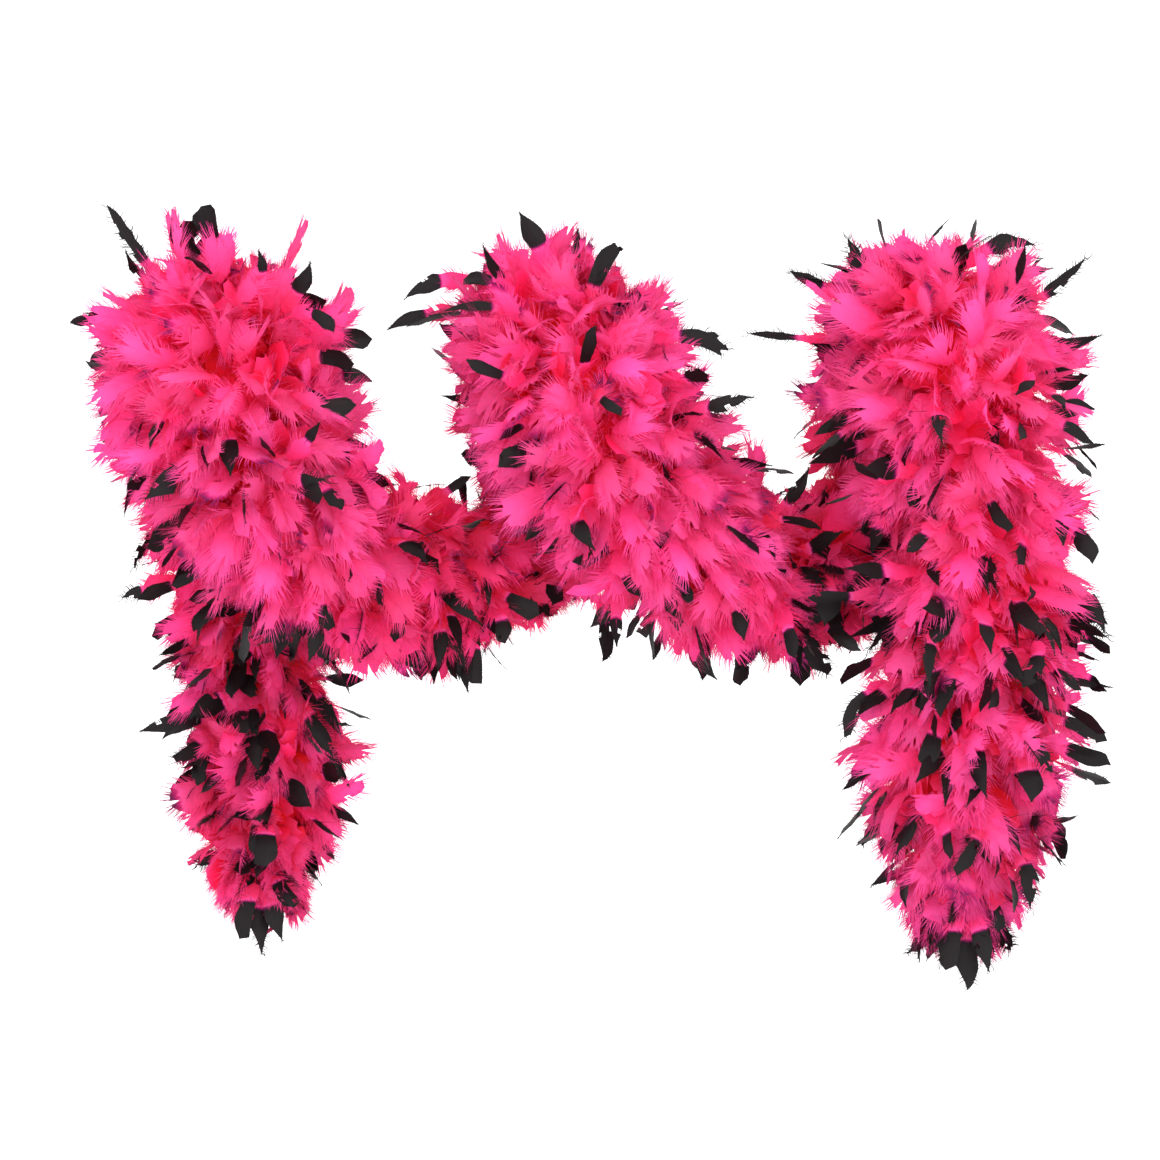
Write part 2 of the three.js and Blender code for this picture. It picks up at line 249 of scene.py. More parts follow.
def feather_material():
    """u runs from the quill's root, painted deep red there as shade, to the dipped tip; v is each feather's own tone.
    """
    m, nt, p = nodes_of("feather_dye_and_painted_shade")
    uvn = nt.nodes.new("ShaderNodeUVMap")
    uvn.uv_map = "OFBake"
    sep = nt.nodes.new("ShaderNodeSeparateXYZ")
    nt.links.new(uvn.outputs["UV"], sep.inputs[0])
    # painted shade: the deep red at the low end of u, at the root and low on the quill, is the red that light bounced
    # round the pink plumage takes in its hollows; the pink vane, its purple edge and the black tip are the dye
    dye_and_shade = ramp(nt, [
        (0.00, srgb(246, 10, 34)),
        (0.16, srgb(248, 16, 50)),
        (0.34, srgb(248, 38, 90)),
        (0.50, srgb(248, 66, 134)),
        (0.66, srgb(246, 84, 158)),
        (0.735, srgb(196, 34, 110)),
        (0.775, srgb(116, 26, 84)),
        (0.81, srgb(50, 16, 46)),
        (0.85, srgb(25, 18, 21)),
        (1.00, srgb(20, 18, 19)),
    ])
    nt.links.new(sep.outputs["X"], dye_and_shade.inputs["Fac"])
    # each feather took the dye a little differently
    shade = nt.nodes.new("ShaderNodeHueSaturation")
    hue = nt.nodes.new("ShaderNodeMapRange")
    hue.inputs["To Min"].default_value, hue.inputs["To Max"].default_value = 0.506, 0.490
    val = nt.nodes.new("ShaderNodeMapRange")
    val.inputs["To Min"].default_value, val.inputs["To Max"].default_value = 0.86, 1.1
    nt.links.new(sep.outputs["Y"], hue.inputs["Value"])
    nt.links.new(sep.outputs["Y"], val.inputs["Value"])
    nt.links.new(hue.outputs[0], shade.inputs["Hue"])
    nt.links.new(val.outputs[0], shade.inputs["Value"])
    nt.links.new(dye_and_shade.outputs["Color"], shade.inputs["Color"])
    # streaks along the barbs, in the feather's own coordinates
    noise = nt.nodes.new("ShaderNodeTexNoise")
    noise.inputs["Scale"].default_value = 42
    noise.inputs["Detail"].default_value = 3
    nt.links.new(uvn.outputs["UV"], noise.inputs["Vector"])
    streak = nt.nodes.new("ShaderNodeMapRange")
    streak.inputs["From Min"].default_value, streak.inputs["From Max"].default_value = 0.3, 0.7
    streak.inputs["To Min"].default_value, streak.inputs["To Max"].default_value = 0.93, 1.06
    nt.links.new(noise.outputs["Fac"], streak.inputs["Value"])
    mul = nt.nodes.new("ShaderNodeVectorMath")
    mul.operation = "SCALE"
    nt.links.new(shade.outputs["Color"], mul.inputs[0])
    nt.links.new(streak.outputs[0], mul.inputs["Scale"])
    nt.links.new(mul.outputs[0], p.inputs["Base Color"])
    # black tips are glossier than the down
    gloss = nt.nodes.new("ShaderNodeMapRange")
    gloss.inputs["From Min"].default_value, gloss.inputs["From Max"].default_value = 0.7, 0.86
    gloss.inputs["To Min"].default_value, gloss.inputs["To Max"].default_value = 0.85, 0.5
    nt.links.new(sep.outputs["X"], gloss.inputs["Value"])
    nt.links.new(gloss.outputs[0], p.inputs["Roughness"])
    p.inputs["Specular IOR Level"].default_value = 0.25
    # thin down lets light through
    out = next(n for n in nt.nodes if n.type == "OUTPUT_MATERIAL")
    thin = nt.nodes.new("ShaderNodeBsdfTranslucent")
    nt.links.new(mul.outputs[0], thin.inputs["Color"])
    mix = nt.nodes.new("ShaderNodeMixShader")
    mix.inputs["Fac"].default_value = 0.35
    nt.links.new(p.outputs[0], mix.inputs[1])
    nt.links.new(thin.outputs[0], mix.inputs[2])
    nt.links.new(mix.outputs[0], out.inputs["Surface"])
    return m


def cord_material(name, dark, light, scale):
    m, nt, p = nodes_of(name)
    tc = nt.nodes.new("ShaderNodeTexCoord")
    noise = nt.nodes.new("ShaderNodeTexNoise")
    noise.inputs["Scale"].default_value = scale
    noise.inputs["Detail"].default_value = 6
    nt.links.new(tc.outputs["Object"], noise.inputs["Vector"])
    col = ramp(nt, [(0.3, dark), (0.7, light)])
    nt.links.new(noise.outputs["Fac"], col.inputs["Fac"])
    nt.links.new(col.outputs["Color"], p.inputs["Base Color"])
    rough = nt.nodes.new("ShaderNodeMapRange")
    rough.inputs["To Min"].default_value, rough.inputs["To Max"].default_value = 0.6, 0.9
    nt.links.new(noise.outputs["Fac"], rough.inputs["Value"])
    nt.links.new(rough.outputs[0], p.inputs["Roughness"])
    bump = nt.nodes.new("ShaderNodeBump")
    bump.inputs["Strength"].default_value = 0.5
    bump.inputs["Distance"].default_value = 0.0004
    fine = nt.nodes.new("ShaderNodeTexNoise")
    fine.inputs["Scale"].default_value = scale * 4
    nt.links.new(tc.outputs["Object"], fine.inputs["Vector"])
    nt.links.new(fine.outputs["Fac"], bump.inputs["Height"])
    nt.links.new(bump.outputs["Normal"], p.inputs["Normal"])
    p.inputs["Specular IOR Level"].default_value = 0.2
    return m


FEATHER = feather_material()
CORD = cord_material("twisted_cotton_cord", srgb(120, 8, 50), srgb(196, 30, 90), 900)
THREAD = cord_material("binding_thread", srgb(26, 8, 18), srgb(70, 20, 46), 1800)


# ------------------------------------------------------------------ cords
def strand_tube(centre, radius, sides, caps=True):
    """a closed round tube along centre (k, 3), in mm: vertices, quads, tris"""
    k = len(centre)
    t = unit(np.gradient(centre, axis=0))
    nrm = np.zeros_like(centre)
    v = np.cross(t[0], [0.3, 0.2, 0.9])
    for i in range(k):
        v = v - t[i] * (v @ t[i])
        v /= np.linalg.norm(v)
        nrm[i] = v
    bi = np.cross(t, nrm)
    a = np.linspace(0, 2 * np.pi, sides, endpoint=False)
    r = np.broadcast_to(np.asarray(radius, float), (k,))
    ring = centre[:, None] + r[:, None, None] * (np.cos(a)[None, :, None] * nrm[:, None] + np.sin(a)[None, :, None] * bi[:, None])
    verts = ring.reshape(-1, 3)
    i = np.arange(k - 1)[:, None] * sides
    j = np.arange(sides)[None]
    q = np.stack([i + j, i + (j + 1) % sides, i + sides + (j + 1) % sides, i + sides + j], -1).reshape(-1, 4)
    tris = []
    if caps:
        verts = np.vstack([verts, centre[0], centre[-1]])
        n0, n1 = k * sides, k * sides + 1
        for jj in range(sides):
            tris.append((n0, (jj + 1) % sides, jj))
            tris.append((n1, (k - 1) * sides + jj, (k - 1) * sides + (jj + 1) % sides))
    return verts, q, np.array(tris, int).reshape(-1, 3)


def twisted(soup, centre, frame_a, frame_b, length, plies, offset, radius, pitch, sides=8, phase=0.0):
    """plies strands twisted round a centre line"""
    ang = 2 * np.pi * length / pitch + phase
    for j in range(plies):
        a = ang + 2 * np.pi * j / plies
        c = centre + offset * (np.cos(a)[:, None] * frame_a + np.sin(a)[:, None] * frame_b)
        v, q, t = strand_tube(c, radius, sides)
        uv = np.zeros((len(v), 2)) + (0.5, 0.5)
        soup.add(v, uv, q, t)


def core_cord(name, node, body, s0, s1):
    n = max(24, int((s1 - s0) / 1.6))
    s = np.linspace(s0, s1, n)
    p, t, a, b, _ = along(s)
    soup = Soup()
    twisted(soup, p, a, b, s, 2, 1.2, 1.28, 14.0)
    ob = soup.object(name, [CORD])
    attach(ob, body)
    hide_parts(node)
    return ob


CORDS = [
    ("left_tail_end", "left_tail_end", 0, L_END - HINGE_GAP),
    ("left_tail_middle", "left_tail_middle", L_END + HINGE_GAP, L_MID - HINGE_GAP),
    ("left_tail_top", "left_tail_top", L_MID + HINGE_GAP, L_TOP - HINGE_GAP),
    ("left_wrap", ROOT, L_TOP + HINGE_GAP, LS_A - HINGE_GAP),
    ("left_swag", "left_swag", LS_A + HINGE_GAP, LS_B - HINGE_GAP),
    ("middle_wrap", ROOT, LS_B + HINGE_GAP, RS_A - HINGE_GAP),
    ("right_swag", "right_swag", RS_A + HINGE_GAP, RS_B - HINGE_GAP),
    ("right_wrap", ROOT, RS_B + HINGE_GAP, R_TOP - HINGE_GAP),
    ("right_tail_top", "right_tail_top", R_TOP + HINGE_GAP, R_MID - HINGE_GAP),
    ("right_tail_middle", "right_tail_middle", R_MID + HINGE_GAP, R_END - HINGE_GAP),
    ("right_tail_end", "right_tail_end", R_END + HINGE_GAP, TOTAL),
]
for key, body, s0, s1 in CORDS:
    core_cord("twisted_cord_" + key, "cord_" + key, body, s0, s1)


# ------------------------------------------------------------------ ends
def end_pieces(sidename, tip):
    body = sidename + "_tail_end"
    x, y, z = tip
    # whipping: a close helix of thread
    turns, k = 9, 9 * 16
    a = np.linspace(0, 2 * np.pi * turns, k)
    c = np.stack([x + 3.15 * np.cos(a), y + 3.15 * np.sin(a), z - 0.9 - 6.0 * a / a[-1]], -1)
    soup = Soup()
    v, q, t = strand_tube(c, 0.42, 6)
    soup.add(v, np.zeros((len(v), 2)) + 0.5, q, t)
    v, q, t = strand_tube(np.array([[x, y, z - 0.5], [x, y, z - 2], [x, y, z - 4], [x, y, z - 6], [x, y, z - 7.2]]), [2.0, 2.9, 3.0, 2.9, 2.0], 16)
    soup.add(v, np.zeros((len(v), 2)) + 0.5, q, t)
    ob = soup.object("thread_whipping_" + sidename, [THREAD])
    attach(ob, body)
    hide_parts(f"whipping_{sidename}_end")
    # knot: a trefoil pulled tight
    a = np.linspace(0, 2 * np.pi, 90)
    kc = np.stack([
        x + 1.45 * (np.sin(a) + 1.35 * np.sin(2 * a)),
        y + 1.45 * (np.cos(a) - 1.35 * np.cos(2 * a)),
        z - 13.8 - 2.2 * np.sin(3 * a),
    ], -1)
    soup = Soup()
    v, q, t = strand_tube(kc, 1.95, 10)
    soup.add(v, np.zeros((len(v), 2)) + 0.5, q, t)
    ob = soup.object("end_knot_" + sidename, [CORD])
    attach(ob, body)
    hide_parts(f"knot_{sidename}_end")
    # hanging loop: a long ring of thin two-ply cord
    top = z - 7.8 - 12 - 0.5 - 1.4
    w, drop = 6.0, 10.0
    n = 200
    quarter = np.linspace(0, 1, n, endpoint=True)
    total = 2 * np.pi * w + 2 * drop
    d = quarter * total
    pts = []
    for dd in d:
        if dd < np.pi * w:
            g = dd / w
            pts.append((x + w * math.cos(g), top - w + w * math.sin(g)))
        elif dd < np.pi * w + drop:
            pts.append((x - w, top - w - (dd - np.pi * w)))
        elif dd < 2 * np.pi * w + drop:
            g = np.pi + (dd - np.pi * w - drop) / w
            pts.append((x + w * math.cos(g), top - w - drop + w * math.sin(g)))
        else:
            pts.append((x + w, top - w - drop + (dd - 2 * np.pi * w - drop)))
    pts = np.array(pts)
    c = np.stack([pts[:, 0], np.full(n, y), pts[:, 1]], -1)
    tt = unit(np.gradient(c, axis=0))
    fa = np.tile([0.0, 1.0, 0.0], (n, 1))
    soup = Soup()
    twisted(soup, c, fa, np.cross(tt, fa), d, 2, 0.66, 0.72, total / 9, 7)
    ob = soup.object("hanging_loop_cord_" + sidename, [CORD])
    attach(ob, sidename + "_hanging_loop")
    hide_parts(f"hanging_loop_{sidename}")


end_pieces("left", rows[0])
end_pieces("right", rows[-1])

# ------------------------------------------------------------------ feathers
rng = np.random.default_rng(20)
GOLDEN = math.pi * (3 - math.sqrt(5))
BOX_LO = np.array([cad_lo.x, cad_lo.y, cad_lo.z]) * 1000
BOX_HI = np.array([cad_hi.x, cad_hi.y, cad_hi.z]) * 1000
SPARE = (BOX_HI - BOX_LO) * 0.03 + 8.0
BOX_LO, BOX_HI = BOX_LO - SPARE, BOX_HI + SPARE
DOWN = np.array([0.0, 0.0, -1.0])

# the most prominent black tips, given one by one: middle x and z, where the tip points
# (degrees, 0 along +x, 90 up), length and width, in mm
SHOWN = [
    # left wrap: one long ragged tip up to the left, a broad one on the crown, small ones round it
    (-274, 114, 120, 46, 10), (-223, 120, 110, 22, 17), (-189, 96, 115, 16, 7), (-164, 86, 75, 22, 12),
    (-153, 64, -60, 24, 9), (-295, 64, 190, 26, 7), (-244, -34, 220, 34, 16), (-159, -33, 0, 20, 9),
    # middle wrap: a broad tip on the crown, long ones off both shoulders
    (-32, 117, 125, 26, 16), (-99, 87, 225, 30, 12), (-109, 66, 215, 26, 9), (-69, 73, 200, 38, 10),
    (-58, 31, 150, 28, 9), (13, 12, -45, 24, 7), (70, 53, -30, 36, 14), (-4, -64, -45, 30, 13),
    # under the swags
    (-66, -142, -100, 24, 13), (15, -127, -110, 30, 11), (68, -142, -40, 28, 12), (129, -140, -95, 30, 16),
    (146, -105, -110, 30, 16),
    # right wrap
    (158, 103, 100, 22, 13), (250, 112, -15, 38, 13), (288, 88, 50, 36, 10), (132, 90, 155, 22, 10),
    (112, 57, 178, 32, 6), (204, 0, -75, 30, 10), (259, 24, 220, 24, 9),
    # right tail
    (294, -68, -80, 30, 14), (300, -106, -75, 36, 16), (198, -136, -85, 44, 10), (264, -140, 235, 36, 14),
    (260, -208, -95, 26, 16), (224, -249, 240, 34, 9), (261, -266, -95, 38, 14), (155, -165, -98, 40, 10),
    # left tail
    (-261, -98, 205, 26, 10), (-180, -124, 200, 32, 13), (-160, -180, -65, 42, 11), (-192, -250, -90, 28, 15),
    # over the end loops
    (224, -314, -92, 36, 17), (233, -306, -78, 32, 14), (214, -305, -106, 30, 13),
    (-196, -301, -88, 36, 17), (-187, -296, -72, 30, 13), (-205, -294, -102, 30, 13),
]

N = 3600
f_s = (np.arange(N) + 0.5) / N * (TOTAL + 60) - 30 + rng.normal(0, 1.5, N)
f_s = np.where(f_s < 0.5, rng.uniform(0.5, 16, N), np.where(f_s > TOTAL - 0.5, TOTAL - rng.uniform(0.5, 16, N), f_s))
phi = np.arange(N) * GOLDEN + rng.normal(0, 0.25, N)
P, T, A, B, R = along(f_s)
# over the rail no feather grows straight into it: the angles crowd round to the sides
to_rail = np.stack([np.zeros(N), -P[:, 1], -P[:, 2]], -1)
rail_d = np.linalg.norm(to_rail, axis=1)
to_rail = unit(to_rail)
press = np.clip((92 - rail_d) / 26, 0, 1)
inward = np.arctan2((to_rail * B).sum(1), (to_rail * A).sum(1))
rel = (phi - inward + np.pi) % (2 * np.pi) - np.pi
least = np.radians(58) * press
rel = np.sign(rel) * (least + np.abs(rel) * (np.pi - least) / np.pi)
phi = inward + rel
E = A * np.cos(phi)[:, None] + B * np.sin(phi)[:, None]
AROUND = np.cross(T, E)
# how near each feather is to a free end of the boa, 1 at the very tip
END = np.clip(1 - np.minimum(f_s, TOTAL - f_s) / 26, 0, 1)
TAIL = ((f_s < s_of(4.2)) | (f_s > s_of(39.2))).astype(float)
TAIL = np.clip(np.interp(f_s, [0, s_of(3.4), s_of(4.6), s_of(38.0), s_of(39.8), TOTAL], [1, 1, 0, 0, 1, 1]), 0, 1)
ARCH = np.clip((P[:, 2] + 20) / 60, 0, 1)
SWAG = np.clip(1 - TAIL - ARCH, 0, 1)

# tips dyed black: thick along the sides, undersides and tails, thin on the open face
face = np.clip(-E[:, 1], 0, 1)
under = np.clip(-E[:, 2], 0, 1)
patch = 0.5 + 0.5 * np.sin(2 * phi + f_s * 0.11) * np.sin(f_s * 0.063 - phi)
chance = 0.42 - 0.12 * ARCH - face * (0.20 * ARCH + 0.10 * SWAG) + under * (0.24 * SWAG + 0.10 * TAIL) + 0.04 * TAIL
chance = chance * (0.5 + patch) * (1 - (0.54 - 0.04 * TAIL) * np.interp(-E[:, 1], [-0.6, 0.35], [0, 1])) + 0.12 * END
# and thicker still in a few places, where the dark is partly black tips and partly painted shade: x, z, how far round,
# how much
for x_, z_, far_, more_ in [(150, -80, 50, 0.38), (-210, -150, 46, 0.44), (214, -96, 36, 0.34), (276, -100, 38, 0.44), (-200, -110, 34, 0.2), (236, -240, 55, 0.10), (-80, -110, 45, 0.12)]:
    chance = chance + more_ * np.exp(-((P[:, 0] + E[:, 0] * R - x_) ** 2 + (P[:, 2] + E[:, 2] * R - z_) ** 2) / far_**2)
black = rng.random(N) < chance
frayed = black & (rng.random(N) < 0.16 + 0.3 * END)
thin = np.interp(f_s, [s_of(15.2), s_of(16.4), s_of(18.0), s_of(19.0)], [0, 1, 1, 0]) * np.clip(-E[:, 2] * 1.6, 0, 1)
ridge = (1 - 0.24 * thin) * (1 + 0.07 * np.cos(phi - 2 * np.pi * f_s / 41.0) + 0.035 * np.sin(2 * np.pi * f_s / 37.0))
length = R * ridge * np.where(black, rng.uniform(1.22, 1.62, N), rng.uniform(0.98, 1.30, N))
over_top = np.clip(E[:, 2], 0, 1)
length = length * (1 - 0.25 * ARCH * over_top - 0.08 * SWAG * under - 0.07 * TAIL)
length = length * (1 - 0.22 * np.clip(1 - np.minimum(f_s, TOTAL - f_s) / 64, 0, 1))
# fuller or flatter shoulders of the three wraps, and a shallower dip where the swags end
lean = 2 * E[:, 0] * over_top
shoulder = np.where(P[:, 0] < -120, -0.34 * np.clip(lean, 0, 1), np.where(P[:, 0] < 130, -0.16 * np.clip(lean, 0, 1) + 0.18 * np.clip(-lean, 0, 1), 0.18 * np.abs(lean)))
length = length * (1 + ARCH * shoulder)
length = length * (1 - SWAG * under * np.interp(P[:, 0], [-60, -35, 0, 20, 60, 90, 150, 175], [0, 0.16, 0.16, 0, 0, 0.13, 0.15, 0]))
short = np.where(-E[:, 1] > -0.3, rng.uniform(0.80, 1.0, N), rng.uniform(0.66, 0.92, N))
length = np.where(END > 0.3, np.maximum(length * short, np.where(-E[:, 1] > -0.3, 37, 32)), length)
length = np.clip(length, 32, 100)


def feather_lines(length):
    """control points of each feather's quill: out from the cord, then over to one side and down"""
    r = np.random.default_rng(5)
    n = len(length)
    hang = 0.12 + 0.75 * TAIL + 0.42 * SWAG + 0.10 * ARCH * face
    g = hang * r.uniform(0.4, 1.7, n)
    d0 = E + T * r.normal(0, 0.26, n)[:, None] + AROUND * r.normal(0, 0.22, n)[:, None]
    d0 = unit(d0 + DOWN * (0.25 * hang + 1.15 * END * r.uniform(0.5, 1.3, n))[:, None])
    az = r.uniform(0, 2 * np.pi, n)
    tang = T * np.cos(az)[:, None] + AROUND * np.sin(az)[:, None]
    out = np.where(black, r.uniform(0.15, 1.05, n), r.uniform(0.12, 0.72, n))
    d1 = unit(E * out[:, None] + tang * r.uniform(0.35, 0.95, n)[:, None] + DOWN * (g + 0.8 * END)[:, None])
    c0 = P + E * 1.5
    c1 = c0 + d0 * (length * np.where(black, 0.58, 0.60))[:, None]
    c2 = c1 + d1 * (length * np.where(black, 0.46, 0.44))[:, None]
    return c0, c1, c2


for _ in range(5):
    c0, c1, c2 = feather_lines(length)
    over = np.maximum(c2 + 3 - BOX_HI, BOX_LO - (c2 - 3)).max(1)
    length = np.where(over > 0, length * 0.9, length)


def shown_feathers():
    """The feathers of SHOWN, on the plumage's outer face."""
    x, z, deg, ln, wd = np.array(SHOWN, float).T
    k = len(x)
    gap = np.hypot(PT[None, :, 0] - x[:, None], PT[None, :, 2] - z[:, None])
    skin = np.where(gap < RAD, PT[None, :, 1] - np.sqrt(np.maximum(RAD**2 - gap**2, 0)), PT[None, :, 1] + gap - RAD)
    j = np.where(gap < RAD * 1.25, skin, 1e9).argmin(1)
    j = np.where((gap < RAD * 1.25).any(1), j, gap.argmin(1))
    g = gap[np.arange(k), j]
    rim = RAD[j] * 1.15
    y = np.where(g < rim, PT[j, 1] - np.sqrt(np.maximum(rim**2 - g**2, 0)) * 0.98 - 1, PT[j, 1] - 5)
    y = np.maximum(y, BOX_LO[1] + 5)
    mid = np.stack([x, y, z], -1)
    a = np.radians(deg)
    d = unit(np.stack([np.cos(a), np.full(k, -0.16), np.sin(a)], -1))
    b2 = mid + d * (ln / 2)[:, None]
    b1 = b2 - d * (ln + 13)[:, None]
    b0 = PT[j] + unit(b1 - PT[j]) * 1.5
    return S[j], b0, b1, b2, ln, wd


h_s, h0, h1, h2, h_ln, h_wd = shown_feathers()
H = len(h_s)
hp, ht, ha, hb, hr = along(h_s)
f_s = np.r_[f_s, h_s]
c0, c1, c2 = np.vstack([c0, h0]), np.vstack([c1, h1]), np.vstack([c2, h2])
over = np.maximum(c2 + 2 - BOX_HI, BOX_LO - (c2 - 2))
c2 = c2 - np.maximum(c2 + 2 - BOX_HI, 0) + np.maximum(BOX_LO - (c2 - 2), 0)
P, T, A, B, R = np.vstack([P, hp]), np.vstack([T, ht]), np.vstack([A, ha]), np.vstack([B, hb]), np.r_[R, hr]
E = np.vstack([E, unit((h1 + h2) / 2 - hp)])
AROUND = np.cross(T, E)
black = np.r_[black, np.ones(H, bool)]
frayed = np.r_[frayed, (h_ln > 33) | (rng.random(H) < 0.12)]
length = np.r_[length, (np.linalg.norm(h1 - h0, axis=1) + np.linalg.norm(h2 - h1, axis=1) + np.linalg.norm(h2 - h0, axis=1)) / 2]
STANDS = np.r_[np.zeros(N, bool), np.ones(H, bool)]
# of the other black tips about one in three is broad and long, on every side of the boa
BROAD = black & ~STANDS & (rng.random(N + H) < 0.34)
FACING = np.where(STANDS[:, None], unit(0.35 * E + np.array([0.0, -1.0, 0.0])), E)
shown_dip = 1 - 1.06 * h_ln / (2 * (h_ln + 13))
N = N + H
# painted shade: the colour stays nearer the root's deep red on the swags and the rear tail than on the high wraps
shaded_pinkness = np.interp(f_s, [0, s_of(3.4), s_of(4.8), s_of(12.4), s_of(13.6), s_of(17.6), s_of(19), s_of(20.5), s_of(26.6), s_of(28.2), s_of(31.5), s_of(33.0), s_of(37.6), s_of(39.0), s_of(40.6), TOTAL],
                  [0.88, 0.76, 0.90, 1.0, 0.72, 0.62, 0.76, 1.0, 1.0, 0.76, 0.62, 0.96, 1.0, 0.88, 1.0, 1.04])

# the vane's flat side looks outward, give or take a roll
roll = rng.normal(0, 0.5, N) + np.where(black, rng.normal(0, 0.5, N), 0)
roll = np.where(BROAD, roll * 0.45, roll)
roll[STANDS] = rng.normal(0, 0.25, H)
CUP = rng.uniform(0.3, 1.6, N) * rng.choice([1, 1, 1, -1], N)
CURL = rng.normal(0.35, 0.5, N)
CURL[STANDS] = rng.uniform(-0.3, 0.2, H)
WIDE = np.where(black, rng.uniform(3.2, 7.0, N), rng.uniform(9.0, 15.0, N))
WIDE = np.where(BROAD, rng.uniform(5.2, 9.0, N), WIDE)
WIDE[STANDS] = h_wd / 2 * rng.uniform(0.9, 1.1, H)
DOWNY = rng.uniform(8.0, 12.0, N)  # half-width of the fluffy pink part under a black tip
vane_from = np.where(black, rng.uniform(0.40, 0.50, N), rng.uniform(0.44, 0.58, N))
dip = np.clip(np.where(BROAD, rng.uniform(30, 44, N), rng.uniform(21, 40, N)), 0, 0.48 * length)  # length of the black tip, mm
dip_t = np.where(black, 1 - dip / length, 1.3)
dip_t[STANDS] = shown_dip
vane_from[STANDS] = shown_dip - 0.17
tone = rng.uniform(0.04, 0.96, N)
cut_end = rng.random(N) < 0.42
PEAK = np.where(cut_end, rng.uniform(0.58, 0.80, N), rng.uniform(0.30, 0.52, N))
ASYM = np.where(cut_end, rng.uniform(-0.20, 0.20, N), rng.uniform(-0.10, 0.10, N))
FOOT = rng.uniform(0.45, 0.75, N)
BLUNT = np.where(cut_end, rng.uniform(1.1, 2.4, N), rng.uniform(0.95, 1.5, N))
faint = (~black) & (rng.random(N) < 0.10)  # a little purple at the very end


def quill(i, t):
    """place and heading at t (m, k) of feathers i (m,)"""
    t = t[..., None]
    a, b, c = c0[i][:, None], c1[i][:, None], c2[i][:, None]
    p = (1 - t) ** 2 * a + 2 * t * (1 - t) * b + t * t * c
    d = unit(2 * (1 - t) * (b - a) + 2 * t * (c - b))
    return p, d


def flat_side(i, d):
    e = FACING[i][:, None]
    n = unit(e - d * (e * d).sum(-1, keepdims=True) + 1e-6)
    w = np.cross(d, n)
    ro = roll[i][:, None, None]
    return unit(w * np.cos(ro) + n * np.sin(ro)), unit(n * np.cos(ro) - w * np.sin(ro))


def wide_as(a, like):
    while a.ndim < like.ndim:
        a = a[..., None]
    return a


def dye_and_shade_at(i, t):
    """u coordinate: 0 at the root, deep red there as painted shade, 0.66 in the pink vane, above 0.8 in the black tip
    """
    body = 0.10 + 0.56 * wide_as(shaded_pinkness[i], t) * np.clip(t / 0.95, 0, 1) ** 0.9
    k = np.clip((t - wide_as(dip_t[i], t)) / 0.07, 0, 1)
    k = k * k * (3 - 2 * k)
    u = body * (1 - k) + 0.93 * k
    return np.where(wide_as(faint[i], t) & (t > 0.93), np.maximum(u, 0.70 + (t - 0.93) * 0.8), u)


def off_rail(v):
    """Down and vanes lie against the rail and don't enter it."""
    r = np.hypot(v[..., 1], v[..., 2])
    k = np.where(r < RAIL_R + 1.2, (RAIL_R + 1.2 + 0.04 * r) / np.maximum(r, 1e-3), 1.0)
    out = v.copy()
    out[..., 1] *= k
    out[..., 2] *= k
    # and nothing stands out past the room that the plumage has
    soft = 5.0
    hi, lo = BOX_HI - soft, BOX_LO + soft
    out = np.where(out > hi, hi + soft * np.tanh((out - hi) / soft), out)
    return np.where(out < lo, lo - soft * np.tanh((lo - out) / soft), out)


def half_width(i, t, x, sign):
    """Half the vane's width at t on one side; x runs 0..1 over the vane."""
    petal = np.sin(np.pi * np.clip(0.13 + 0.80 * x, 0, 1)) ** 0.6
    y = np.clip((t - (wide_as(dip_t[i], t) - 0.02)) / np.maximum(1 - wide_as(dip_t[i], t), 0.05), 0, 1)
    peak = np.clip(wide_as(PEAK[i] + sign * ASYM[i], t), 0.15, 0.93)
    foot = wide_as(FOOT[i], t)
    rise = foot + (1 - foot) * np.clip(y / peak, 0, 1) ** 0.8
    fall = 1 - np.clip((y - peak) / (1 - peak), 0, 1) ** wide_as(BLUNT[i], t)
    tip = WIDE[i][:, None] * np.maximum(rise * fall, 0.02)
    k = np.clip((t - wide_as(dip_t[i], t) + 0.13) / 0.15, 0, 1)
    k = k * k * (3 - 2 * k)
    root = DOWNY[i][:, None] * np.clip(0.5 + 2.0 * x, 0, 1)
    return np.where(black[i][:, None], root * (1 - k) + tip * k, WIDE[i][:, None] * petal)


def slant(i, t, x):
    """angle between quill and barbs: wide at the vane's foot, closing towards its end"""
    open_ = np.radians(60) - np.radians(44) * x**1.8
    k = np.clip((t - wide_as(dip_t[i], t) + 0.06) / 0.10, 0, 1)
    return np.where(black[i][:, None], np.radians(56) * (1 - k) + np.radians(80) * k, open_)


def reach_of(i, t, half, gamma):
    r = half / np.sin(gamma)
    return np.where(black[i][:, None], r, np.minimum(r, (1 - t) * length[i][:, None] * 1.1 + 6.5))


def vane_grid(i, r):
    """Rows of the vane: place, heading, flat side, normal, reach and slant of its barbs."""
    m = len(i)
    K = 12
    x = np.tile(np.linspace(0, 1, K)[None], (m, 1))
    x[:, 1:-1] += r.uniform(-0.25, 0.25, (m, K - 2)) / K
    end = np.where(black[i], 0.995, 0.97)[:, None]
    t = vane_from[i][:, None] + (end - vane_from[i][:, None]) * x
    p, d = quill(i, t)
    w, n = flat_side(i, d)
    p = p - n * (CURL[i][:, None, None] * (x[..., None] ** 2) * 6.0)
    return x, t, p, d, w, n


